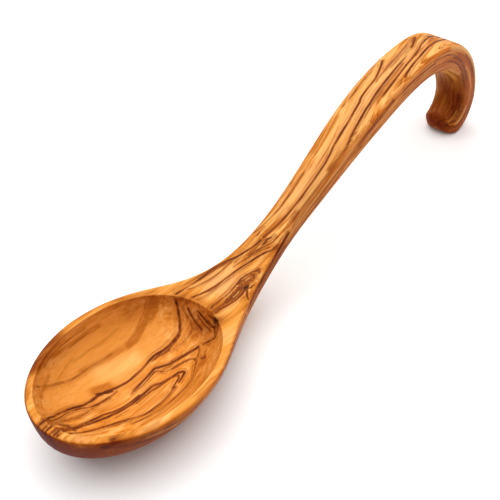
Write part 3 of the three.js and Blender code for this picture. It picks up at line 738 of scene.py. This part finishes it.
        (102.3, -7.6, 0, 1.8, 1, 0.95), (124.2, -1, 0, 1.8, 0.9, 0.5), (124.6, 1.2, 0, 1.6, 0.7, 0.4),
        (80.8, -9, 1.6, 1.8, 2.6, 0.9), (74, -7, 8, 1.6, 0.8, 0.7), (34.4, -9, 17, 2, 0.7, 0.6),
        (10.9, 3.8, 9, 0.9, 0.9, 0.7), (12.6, 0.2, 10, 0.9, 0.8, 0.6), (31.6, 8.8, 15, 2.6, 0.6, 0.7),
        (267.5, 2.2, 0, 4.5, 1.5, 0.75), (259.6, 0.9, 0, 2.4, 0.6, 0.7), (188, -0.8, 0, 4, 0.6, 0.5),
        (176, -7.4, 0, 5, 0.7, 0.7), (329, -6.4, 15.6, 8, 1.8, 0.55), (344, -5.4, 17, 7, 1.8, 0.45),
    ),
    # calm wood with few streaks: along, y, d, radius along, radius across, strength
    "calm": (
        (330, 0, 16, 34, 12, 1), (368, 0, 9, 8, 9, 0.9), (44, 15, 16, 26, 9, 1), (20, 15, 12, 12, 8, 0.9),
        (62, 14, 14, 13, 8, 0.8), (46, -7, 19, 22, 4, 0.4), (52, -21, 14, 22, 6, 0.4),
        (44, 25, 8, 34, 5, 0.6), (82, -17, 0, 12, 5, 0.8), (44, -31, 1, 40, 4, 0.6),
        (44, 31, 1, 40, 4, 0.4), (96, 0, 0, 16, 3, 0.6), (272, -7, 0, 26, 3.4, 0.8),
    ),
    # soft changes of tone: along, y, d, radii along, across and down, strength; red is positive. The bells
    # on the hollow's walls, its end wall by the neck, the nose's outer wall and the hook's inner face and
    # toe are painted shade where those faces get little light; on the end wall and the hook the wood is
    # darker as well
    "tones": (
        (82, -2, 11, 6, 14, 9, 0.7), (55, -22, 12, 30, 9, 10, 0.36), (74, -17, 3, 9, 6, 5, 0.12),
        (17, 24, 0, 5, 3.4, 2.2, 0.4), (31, 28.6, 0, 8, 3, 2.2, 0.58), (62, 22, 6, 14, 5, 6, 0.25),
        (74, -8, 10, 8, 8, 6, 0.2), (25, -27, 0, 8, 3, 2.4, -0.35), (67.8, -12.3, 13, 6, 5, 5, 0.2),
        (84.7, 1.7, 0, 4, 6, 3, 0.35), (81, 9.4, 1, 4, 4, 3, 0.28), (72, 20, 3, 14, 6, 5, 0.26),
        (77, 12, 3, 8, 7, 5, 0.25), (21, 25.5, 0, 9, 4, 3, 0.48), (13, -21.2, 0, 3.4, 3, 2, 0.5),
        (5, -13, 0, 5, 4, 2.4, -0.4), (62, 27, 0, 14, 4, 3, 0.22), (80, -12, 0, 7, 4, 3, 0.35),
        (118, -2, 0, 12, 6, 3, 0.14), (-4, 0, 13, 14, 30, 12, 0.35), (368, 0, 9, 9, 14, 14, 0.3),
        (338, -6, 16, 18, 3.6, 4, 0.5), (354, -8, 12, 14, 4, 5, -0.6), (360, 0, 11, 24, 18, 11, 0.62),
        (316, 0, 15, 34, 12, 5, 0.6), (345, 2, 16, 26, 8, 4, 0.2), (205, 0, 0, 50, 5, 3, -0.3),
        (235, 0, 0, 25, 6, 3, -0.3), (152, -2, 0, 16, 6, 3, -0.35), (99, 2, 0, 10, 9, 3, -0.5),
        (270, -7, 0, 24, 4, 3, -0.15), (76, -18, 0, 10, 4, 3, -0.4),
    ),
}


# A polyline filled with points no more than a step apart, by straight lines between its own points
def fillLine(points):
    points = np.asarray(points, float)
    run = np.concatenate([[0], np.cumsum(np.linalg.norm(np.diff(points, axis=0), axis=1))])
    ruler = np.linspace(0, run[-1], max(2, int(run[-1] / figure["lineStep"]) + 1))
    return [np.interp(ruler, run, column) for column in points.T]


# Depth of the hollow below the rim at a place in plan, by the powers of the skin's own floor and wall
def sinkAt(x, y):
    power = hollow["outline"]
    oval = (np.abs((x - hollow["x"]) / (hollow["length"] / 2)) ** power
            + np.abs(y / (hollow["width"] / 2)) ** power) ** (1 / power)
    return hollow["depth"] * np.clip(1 - oval ** hollow["floor"], 0, 1) ** hollow["wall"]


# Wood coordinates (along, y, d) of a line drawn in plan on the bowl
def onBowl(x, y):
    return np.stack([alongAtX(x), y, sinkAt(x, y)], 1)


# The same for a line on the top of the handle, where d is zero
def onHandle(along, y):
    return np.stack([along, y, 0 * along], 1)


# The same on the right side, with girth for d; y is left empty, because the line counts for that whole side
def onSide(along, girth):
    return np.stack([along, np.nan * along, girth], 1)


# Every drawn line of one kind, as level, half width and wood coordinates
def placeLines(kind):
    lines = []
    for part, toWood in (("bowl", onBowl), ("handle", onHandle), ("side", onSide)):
        for level, width, points in figure[part + kind].values():
            lines.append((level, width, toWood(*fillLine(points))))
    return lines


# Every vein, with the stripes over the nose added
def listVeins():
    veins = placeLines("Veins")
    x, d = fillLine(figure["noseWall"])
    for y in figure["noseStripes"]:
        stripe = np.stack([alongAtX(x), 0 * x + y, d], 1)
        veins.append((figure["noseDark"], figure["noseWidth"], stripe))
    return veins


# Points close to a line along the wood, their distance to it, and how far its end is from there; a side
# line looks at along and girth alone, and only at points on the right side
def distanceTo(line, wood, unrolled, rightSide):
    reach = figure["lineReach"]
    near = (wood[:, 0] > line[:, 0].min() - reach) & (wood[:, 0] < line[:, 0].max() + reach)
    columns = [0, 1, 2]
    if np.isnan(line[0, 1]):
        near = near & rightSide
        wood = unrolled
        columns = [0, 2]
    near = np.nonzero(near)[0]
    gap = np.full(len(near), np.inf)
    step = np.zeros(len(near), int)
    for part in np.array_split(np.arange(len(near)), max(1, len(near) // figure["pointBlock"])):
        for block in np.array_split(np.arange(len(line)), max(1, len(line) // figure["lineBlock"])):
            squares = ((wood[near[part]][:, None, columns] - line[block][None][..., columns]) ** 2).sum(-1)
            closest = np.sqrt(squares.min(1))
            step[part] = np.where(closest < gap[part], block[squares.argmin(1)], step[part])
            gap[part] = np.minimum(gap[part], closest)
    steps = np.linalg.norm(np.diff(line[:, columns], axis=0), axis=1)
    run = np.concatenate([[0], np.cumsum(steps)])[step]
    return near, gap, np.minimum(run, steps.sum() - run)


# Levels of the veins, of the shade about them, of the soft bands and of the pale streaks: the strongest
# bell of the distance to any of them, flat-topped for bands and streaks; and the distance to the nearest
# vein
def drawFigure(wood, girth, rightSide):
    unrolled = np.stack([wood[:, 0], wood[:, 1], girth], 1)
    ink, near, band, pale = np.zeros((4, len(wood)))
    beside = np.full(len(wood), float(figure["gapLimit"]))
    for dark, width, line in listVeins():
        here, gap, toEnd = distanceTo(line, wood, unrolled, rightSide)
        level = dark * np.clip(toEnd / figure["veinFade"], 0, 1)
        ink[here] = np.maximum(ink[here], level * np.exp(-((gap / (figure["veinSpread"] * width)) ** 2)))
        near[here] = np.maximum(near[here], level * np.exp(-((gap / figure["nearReach"]) ** 2)))
        beside[here] = np.minimum(beside[here], gap)
    leastFade, fadeByWidth = figure["bandFade"]
    for kind, field in (("Bands", band), ("Pales", pale)):
        for strength, width, line in placeLines(kind):
            here, gap, toEnd = distanceTo(line, wood, unrolled, rightSide)
            level = strength * np.clip(toEnd / (leastFade + fadeByWidth * width), 0, 1)
            bell = np.exp(-((gap / (figure["bandSpread"] * width)) ** 4))
            field[here] = np.maximum(field[here], level * bell)
    return {"ink": ink, "near": near, "band": band, "pale": pale, "beside": beside}


# Sum of soft bells at listed places; a row is along, y, d, radii and strength, and without a radius down
# the one across counts for it
def bellField(wood, rows):
    total = np.zeros(len(wood))
    for *place, strength in rows:
        radii = place[3:]
        if len(radii) == 2:
            radii = [*radii, radii[-1]]
        total += strength * np.exp(-(((wood - np.array(place[:3])) / np.array(radii)) ** 2).sum(1))
    return total


# The figure, the soft changes of the wood and the painted shade at every point of the skin, by name: levels
# along the spoon, bells at listed places, and their sums and products
def woodFields(wood, outside, girth):
    along, y, d = wood.T
    rightSide = (outside > 0) & (y < 0) & (girth > levelAt(along, figure["sideStart"]))
    wayRound = np.minimum(girth, levelAt(along, figure["flankLimit"]))
    flank = levelAt(along, figure["flank"]) * outside * levelAt(wayRound, figure["flankGirth"])
    low, high = figure["outerDepth"]
    # the outer wall's red-brown, partly wood and partly painted shade, joins the tones
    outerRedAndShade = levelAt(along, figure["outerRedAndShade"]) * np.clip((d - low) / (high - low), 0, 1)
    tone = bellField(wood, figure["tones"]) + outside * outerRedAndShade
    ripe = levelAt(along, figure["ripe"]) + figure["flankRipe"] * flank + figure["toneRipe"] * tone
    calm = np.clip(bellField(wood, figure["calm"]), 0, 1)
    lively = levelAt(along, figure["lively"]) - figure["calmDrop"] * calm
    return {
        **drawFigure(wood, girth, rightSide),
        "darkSpotAndShade": np.clip(bellField(wood, figure["darkSpotsAndShade"]), 0, 1),
        "burl": np.clip(bellField(wood, figure["burls"]), 0, 1),
        "lively": np.clip(lively, *figure["livelyRange"]),
        "ripe": ripe,
        "flank": flank,
        "tone": np.clip(tone, -1, 1),
    }


# Olive wood: its colours as seen in plain light, and how the figure is made from noises and fields
oliveWood = {
    "straw": (0.94, 0.49, 0.145),
    "honey": (0.79, 0.30, 0.046),
    "amber": (0.52, 0.15, 0.014),
    "band": (0.48, 0.14, 0.013),
    "fibre": (0.44, 0.12, 0.012),
    "redBrown": (0.26, 0.06, 0.008),
    "tan": (0.66, 0.29, 0.085),
    "blush": (0.92, 0.44, 0.175),
    "vein": (0.10, 0.022, 0.005),
    "dark": (0.05, 0.013, 0.006),
    "darkWoodAndShade": (0.33, 0.14, 0.07),   # what a full tone multiplies the figure by: darker red-brown wood, and painted shade where a tone stands for shade
    "flank": (1.0, 0.74, 0.6),       # what a reddened side multiplies it by
    "roughness": 0.45,
    "roughnessSpread": 0.12,
    "specular": 0.04,
    "fibreBump": 0.05,
    "bumpHeight": 0.0005,            # in metres
    "drift": 2.4,                    # slow waves of the fibres, in millimetres
    "swirl": 9.0,                    # turning of the fibres inside a burl, in millimetres
    "middleRipe": 0.5,               # warmth of wood whose ripeness is zero
    "thinLines": 9.0,                # steps that a slow noise is cut into, each with a thin vein
    "lineMiddle": 0.5,               # place of the vein within its step
    "noiseRoughness": 0.55,
    "noiseMiddle": 0.5,              # level that a noise swings about
    # noises: waves for each millimetre along the grain and across it, layer, detail
    "noises": {
        "wave": (0.03, 0.12, 3.0, 2.0),
        "turn": (0.22, 0.3, 7.0, 3.0),
        "broad": (0.018, 0.2, 11.0, 2.0),
        "middle": (0.028, 0.62, 19.0, 3.0),
        "fine": (0.05, 2.0, 29.0, 2.0),
        "hair": (0.16, 5.5, 37.0, 2.0),
        "line": (0.014, 0.36, 43.0, 2.0),
        "patchy": (0.1, 0.5, 53.0, 3.0),
    },
    # strands beside a vein: waves for each millimetre along, away from the vein and across, then detail
    "strandNoise": (0.035, 1.5, 0.15, 2.0),
    # a mask rises from its first level to its second
    "masks": {
        "honey": (0.34, 0.62),
        "amber": (0.58, 0.84),
        "fine fibre": (0.42, 0.72),
        "hair fibre": (0.45, 0.75),
        "thin vein": (0.0, 0.14),
        "thin vein place": (0.42, 0.62),
        "blush": (0.0, 0.8),
        "band": (0.05, 0.95),
        "strand": (0.48, 0.62),
        "strand place": (0.1, 0.65),
        "vein edge": (0.12, 0.62),
        "vein core": (0.42, 0.88),
        "darkSpotAndShade": (0.2, 0.8),
        "darkWoodAndShade": (0.0, 1.0),
        "tan": (0.0, 0.4),
        "pale": (0.1, 1.0),
    },
    # a level is multiplied by its first number, and its second is added
    "levels": {
        "broad warmth": (1.1, -0.55),
        "middle warmth": (1.6, -0.8),
        "fine fibre": (0.4, 0.0),
        "hair fibre": (0.24, 0.0),
        "lively fibre": (0.6, 0.45),
        "lively thin vein": (0.75, 0.0),
        "middle band": (1.4, 0.3),
        "fine band": (0.5, 0.75),
        "shade": (0.5, 0.0),
        "strand": (0.65, 0.0),
        "patchy vein": (1.5, 0.2),
        "fine vein": (0.9, 0.55),
        "fine darkSpotAndShade": (1.1, 0.4),
        "middle pale": (1.4, 0.2),
    },
}


# Small helper that adds a node, sets its values and links its inputs
def addNode(tree, kind, values=None, links=None, **settings):
    node = tree.nodes.new(kind)
    for name, value in settings.items():
        setattr(node, name, value)
    for name, value in (values or {}).items():
        node.inputs[name].default_value = value
    for name, socket in (links or {}).items():
        tree.links.new(socket, node.inputs[name])
    return node


# Sets a node's first inputs from sockets or numbers
def feed(tree, node, items):
    for socket, item in zip(node.inputs, items):
        if isinstance(item, (int, float)):
            socket.default_value = item
        else:
            tree.links.new(item, socket)


# Node that reads one of the skin's point attributes
def attributeNode(tree, name):
    return addNode(tree, "ShaderNodeAttribute", attribute_name=name)


# One arithmetic node; a and b are sockets or numbers
def calc(tree, operation, a, b=0.0):
    node = addNode(tree, "ShaderNodeMath", operation=operation)
    feed(tree, node, (a, b))
    return node.outputs[0]


# Product of sockets, taken from left to right
def times(tree, first, *others):
    for other in others:
        first = calc(tree, "MULTIPLY", first, other)
    return first


# A socket times a factor plus an offset
def scaled(tree, value, factor, offset=0.0):
    return calc(tree, "ADD", calc(tree, "MULTIPLY", value, factor), offset)


# Smooth step of a socket between two levels
def soften(tree, value, low, high):
    node = addNode(tree, "ShaderNodeMapRange", {"From Min": low, "From Max": high}, {"Value": value},
                   interpolation_type="SMOOTHSTEP")
    return node.outputs["Result"]


# Colour mix by a mask
def blendColour(tree, mask, first, second, way="MIX"):
    node = addNode(tree, "ShaderNodeMix", links={"Factor": mask}, data_type="RGBA", blend_type=way)
    for name, item in (("A", first), ("B", second)):
        socket = [s for s in node.inputs if s.name == name and s.type == "RGBA"][0]
        if isinstance(item, tuple):
            socket.default_value = (*item, 1)
        else:
            tree.links.new(item, socket)
    return [s for s in node.outputs if s.type == "RGBA"][0]


# Noise read at a place given by three sockets or numbers
def noiseAt(tree, place, detail):
    joined = addNode(tree, "ShaderNodeCombineXYZ")
    feed(tree, joined, place)
    values = {"Scale": 1.0, "Detail": detail, "Roughness": oliveWood["noiseRoughness"]}
    return addNode(tree, "ShaderNodeTexNoise", values, {"Vector": joined.outputs[0]}).outputs["Fac"]


# A named noise at a place in the wood, stretched along the grain
def woodNoise(tree, name, place):
    alongWaves, acrossWaves, layer, detail = oliveWood["noises"][name]
    along, across, down = place
    stretched = (scaled(tree, along, alongWaves, layer), scaled(tree, across, acrossWaves),
                 scaled(tree, down, acrossWaves))
    return noiseAt(tree, stretched, detail)


# Smooth step of a socket between the two levels of a named mask
def maskOf(tree, name, value):
    return soften(tree, value, *oliveWood["masks"][name])


# A socket times the factor of a named level plus its offset
def levelOf(tree, name, value):
    return scaled(tree, value, *oliveWood["levels"][name])


# All noises of the wood; most are read where the fibres wave slowly and turn inside burls
def fibreNoises(tree, straight, burl, beside):
    look = oliveWood
    along, across, down = straight
    wave = scaled(tree, woodNoise(tree, "wave", straight), look["drift"], -look["drift"] / 2)
    turn = calc(tree, "SUBTRACT", woodNoise(tree, "turn", straight), look["noiseMiddle"])
    turn = times(tree, turn, scaled(tree, burl, look["swirl"]))
    shift = calc(tree, "ADD", wave, turn)
    fibres = (along, calc(tree, "ADD", across, shift), calc(tree, "ADD", down, shift))
    noises = {name: woodNoise(tree, name, fibres) for name in ("broad", "middle", "fine", "hair", "line")}
    noises["patchy"] = woodNoise(tree, "patchy", straight)
    *waves, detail = look["strandNoise"]
    place = [scaled(tree, way, factor) for way, factor in zip((along, beside, across), waves)]
    noises["strand"] = noiseAt(tree, place, detail)
    return noises


# Ground colour: pale straw to amber by slow noises, darker fibres, and thin wandering veins where a slow
# noise crosses evenly spaced levels
def groundColour(tree, noise, field):
    look = oliveWood
    lively = field["lively"]
    warm = calc(tree, "ADD", levelOf(tree, "broad warmth", noise["broad"]),
                levelOf(tree, "middle warmth", noise["middle"]))
    ripe = calc(tree, "ADD", field["ripe"], look["middleRipe"])
    warm = calc(tree, "ADD", times(tree, warm, lively), ripe)
    colour = blendColour(tree, maskOf(tree, "honey", warm), look["straw"], look["honey"])
    colour = blendColour(tree, maskOf(tree, "amber", warm), colour, look["amber"])
    fine = levelOf(tree, "fine fibre", maskOf(tree, "fine fibre", noise["fine"]))
    hair = levelOf(tree, "hair fibre", maskOf(tree, "hair fibre", noise["hair"]))
    fibre = times(tree, calc(tree, "ADD", fine, hair), levelOf(tree, "lively fibre", lively))
    colour = blendColour(tree, fibre, colour, look["fibre"])
    ridge = calc(tree, "FRACT", times(tree, noise["line"], look["thinLines"]))
    ridge = calc(tree, "ABSOLUTE", calc(tree, "SUBTRACT", ridge, look["lineMiddle"]))
    thin = calc(tree, "SUBTRACT", 1.0, maskOf(tree, "thin vein", ridge))
    thin = times(tree, thin, maskOf(tree, "thin vein place", noise["middle"]),
                 levelOf(tree, "lively thin vein", lively))
    return blendColour(tree, thin, colour, look["redBrown"])


# Over the ground: fresh wood, soft bands, each drawn vein as a brown shade, thin strands and a dark core,
# then dark spots, two of them painted shade, the sides, the darkening of the tones, partly darker wood and
# partly painted shade, and the pale streaks, one of them partly a painted sheen
def figureColour(tree, noise, field, colour):
    look = oliveWood
    middle, fine = noise["middle"], noise["fine"]
    tone, near = field["tone"], field["near"]
    fresh = maskOf(tree, "blush", times(tree, tone, -1.0))
    colour = blendColour(tree, fresh, colour, look["blush"])
    soft = times(tree, field["band"], levelOf(tree, "middle band", middle),
                 levelOf(tree, "fine band", fine))
    colour = blendColour(tree, maskOf(tree, "band", soft), colour, look["band"])
    colour = blendColour(tree, levelOf(tree, "shade", near), colour, look["amber"])
    strands = times(tree, maskOf(tree, "strand", noise["strand"]), maskOf(tree, "strand place", near))
    colour = blendColour(tree, levelOf(tree, "strand", strands), colour, look["redBrown"])
    core = times(tree, field["ink"], levelOf(tree, "patchy vein", noise["patchy"]),
                 levelOf(tree, "fine vein", fine))
    colour = blendColour(tree, maskOf(tree, "vein edge", core), colour, look["redBrown"])
    colour = blendColour(tree, maskOf(tree, "vein core", core), colour, look["vein"])
    # dark spots of the wood, and painted shade in the hook's inner corner
    darkSpotAndShade = times(tree, field["darkSpotAndShade"], levelOf(tree, "fine darkSpotAndShade", fine))
    colour = blendColour(tree, maskOf(tree, "darkSpotAndShade", darkSpotAndShade), colour, look["dark"])
    colour = blendColour(tree, field["flank"], colour, look["flank"], "MULTIPLY")
    # darkening by the tones: darker wood, and painted shade on faces that get little light
    colour = blendColour(tree, maskOf(tree, "darkWoodAndShade", tone), colour, look["darkWoodAndShade"], "MULTIPLY")
    light = blendColour(tree, maskOf(tree, "tan", tone), look["straw"], look["tan"])
    glow = times(tree, field["pale"], levelOf(tree, "middle pale", middle))
    return blendColour(tree, maskOf(tree, "pale", glow), colour, light)


# Figured olive wood, read from the skin's own fields and from noises at its places in the wood
def oliveMaterial(fieldNames):
    look = oliveWood
    material = bpy.data.materials.new("olive_wood_figured")
    material.use_nodes = True
    tree = material.node_tree
    shader = tree.nodes["Principled BSDF"]
    field = {name: attributeNode(tree, name).outputs["Fac"] for name in fieldNames}
    grainPlace = attributeNode(tree, "grainPlace").outputs["Vector"]
    straight = list(addNode(tree, "ShaderNodeSeparateXYZ", links={"Vector": grainPlace}).outputs)
    noise = fibreNoises(tree, straight, field["burl"], field["beside"])
    colour = figureColour(tree, noise, field, groundColour(tree, noise, field))
    tree.links.new(colour, shader.inputs["Base Color"])
    spread = look["roughnessSpread"]
    roughness = scaled(tree, noise["fine"], spread, look["roughness"] - spread / 2)
    tree.links.new(roughness, shader.inputs["Roughness"])
    shader.inputs["Specular IOR Level"].default_value = look["specular"]
    relief = {"Strength": look["fibreBump"], "Distance": look["bumpHeight"]}
    bump = addNode(tree, "ShaderNodeBump", relief, {"Height": noise["fine"]})
    tree.links.new(bump.outputs["Normal"], shader.inputs["Normal"])
    return material


# Puts the carved skin into a mesh with its wood fields as point attributes; the grain's place is the wood
# coordinate, moved across by the drift of the fibres
def makeSpoon():
    points, wood, outside, girth, triangles = carveSpoon()
    along, y, d = wood.T
    fields = woodFields(wood, outside, girth)
    flow = levelAt(along, figure["flow"]) * np.clip(1 - d / figure["flowDepth"], 0, 1)
    grainPlace = np.stack([along, y - flow, d], 1)
    mesh = bpy.data.meshes.new("spoon_olive_wood")
    mesh.from_pydata(points * mm, [], triangles.tolist())
    place = mesh.attributes.new("grainPlace", "FLOAT_VECTOR", "POINT")
    place.data.foreach_set("vector", grainPlace.astype(np.float32).ravel())
    for name, values in fields.items():
        attribute = mesh.attributes.new(name, "FLOAT", "POINT")
        attribute.data.foreach_set("value", values.astype(np.float32))
    mesh.polygons.foreach_set("use_smooth", np.ones(len(mesh.polygons), bool))
    mesh.materials.append(oliveMaterial(fields))
    mesh.update()
    spoon = bpy.data.objects.new("spoon_olive_wood", mesh)
    bpy.context.scene.collection.objects.link(spoon)
    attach(spoon, "root")
    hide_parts("carved_spoon")
    print("stage: spoon dressed")


# Studio: sizes in metres, lamp powers in watts
studio = {
    "floorSize": 8,
    "floorDrop": 0.0003,
    "floorColour": (0.99, 0.99, 0.99),
    "floorRoughness": 1,
    "floorSpecular": 0,
    # what the seen floor adds, so that it stays white: near the spoon and far from it, and those distances
    "floorGlow": (0.04, 0.9, 0.5, 2.5),
    "floorBounce": (0.62, 0.62, 0.62),    # what the floor throws back on to the spoon
    "white": (1, 1, 1, 1),
    "worldStrength": 0.3,
    "lamps": {
        # place, size along and across, power
        "key": ((0.0, 0.12, 1.1), (1.8, 1.8), 23.5),
    },
    "aim": (0.0, 0.0, 0.03),
    "cameraPlace": (-0.2539, -0.1704, 0.2798),
    "cameraTurn": (48, 0, -52),
    "focalPixels": 900,
    "imagePixels": 500,
    "sensor": 36,
}


# One for rays from the camera, also by way of a reflection or through glass, and zero for all others
def seenRays(tree):
    rays = addNode(tree, "ShaderNodeLightPath").outputs
    seen = calc(tree, "MAXIMUM", rays["Is Glossy Ray"], rays["Is Transmission Ray"])
    return calc(tree, "MAXIMUM", seen, rays["Is Camera Ray"])


# White floor that glows a little more with the distance from the spoon, only where it is seen
def floorMaterial():
    material = bpy.data.materials.new("studio_floor_white")
    material.use_nodes = True
    tree = material.node_tree
    shader = tree.nodes["Principled BSDF"]
    seen = seenRays(tree)
    colour = blendColour(tree, seen, studio["floorBounce"], studio["floorColour"])
    tree.links.new(colour, shader.inputs["Base Color"])
    nearGlow, farGlow, nearWay, farWay = studio["floorGlow"]
    place = addNode(tree, "ShaderNodeTexCoord").outputs["Object"]
    way = addNode(tree, "ShaderNodeVectorMath", links={0: place}, operation="LENGTH").outputs["Value"]
    glow = scaled(tree, soften(tree, way, nearWay, farWay), farGlow - nearGlow, nearGlow)
    tree.links.new(times(tree, seen, glow), shader.inputs["Emission Strength"])
    shader.inputs["Emission Color"].default_value = studio["white"]
    shader.inputs["Roughness"].default_value = studio["floorRoughness"]
    shader.inputs["Specular IOR Level"].default_value = studio["floorSpecular"]
    return material


# One flat square just under the spoon
def makeFloor():
    half = studio["floorSize"] / 2
    drop = -studio["floorDrop"]
    corners = [(-half, -half, drop), (half, -half, drop), (half, half, drop), (-half, half, drop)]
    mesh = bpy.data.meshes.new("studio_floor")
    mesh.from_pydata(corners, [], [(0, 1, 2, 3)])
    mesh.materials.append(floorMaterial())
    floor = bpy.data.objects.new("studio_floor", mesh)
    bpy.context.scene.collection.objects.link(floor)


# World of even light, white where it is seen
def makeWorld():
    world = bpy.data.worlds.new("studio_light")
    world.use_nodes = True
    tree = world.node_tree
    background = tree.nodes["Background"]
    background.inputs["Color"].default_value = studio["white"]
    strength = scaled(tree, seenRays(tree), 1 - studio["worldStrength"], studio["worldStrength"])
    tree.links.new(strength, background.inputs["Strength"])
    bpy.context.scene.world = world


# Rotation that turns a lamp's own -Z from its place to the aim: the tilt from straight down, then the turn
# about Z
def aimedFrom(place, aim):
    x, y, z = np.array(aim) - np.array(place)
    return (math.acos(-z / math.sqrt(x * x + y * y + z * z)), 0, math.atan2(y, x) - math.pi / 2)


# A broad soft lamp for each entry, aimed at the spoon
def makeLamps():
    for name, (place, size, power) in studio["lamps"].items():
        light = bpy.data.lights.new("studio_" + name, "AREA")
        light.shape = "RECTANGLE"
        light.size, light.size_y = size
        light.energy = power
        lamp = bpy.data.objects.new("studio_" + name, light)
        lamp.location = place
        lamp.rotation_euler = aimedFrom(place, studio["aim"])
        bpy.context.scene.collection.objects.link(lamp)


# Camera; the lens is the focal length in pixels times the sensor's width over the picture's
def makeCamera():
    lens = bpy.data.cameras.new("studio_camera")
    lens.sensor_width = studio["sensor"]
    lens.lens = studio["focalPixels"] * studio["sensor"] / studio["imagePixels"]
    camera = bpy.data.objects.new("studio_camera", lens)
    camera.location = studio["cameraPlace"]
    camera.rotation_euler = [math.radians(angle) for angle in studio["cameraTurn"]]
    bpy.context.scene.collection.objects.link(camera)
    bpy.context.scene.camera = camera


bpy.context.scene.view_settings.view_transform = "Standard"
makeFloor()
makeWorld()
makeLamps()
makeCamera()
print("stage: studio ready")
makeSpoon()
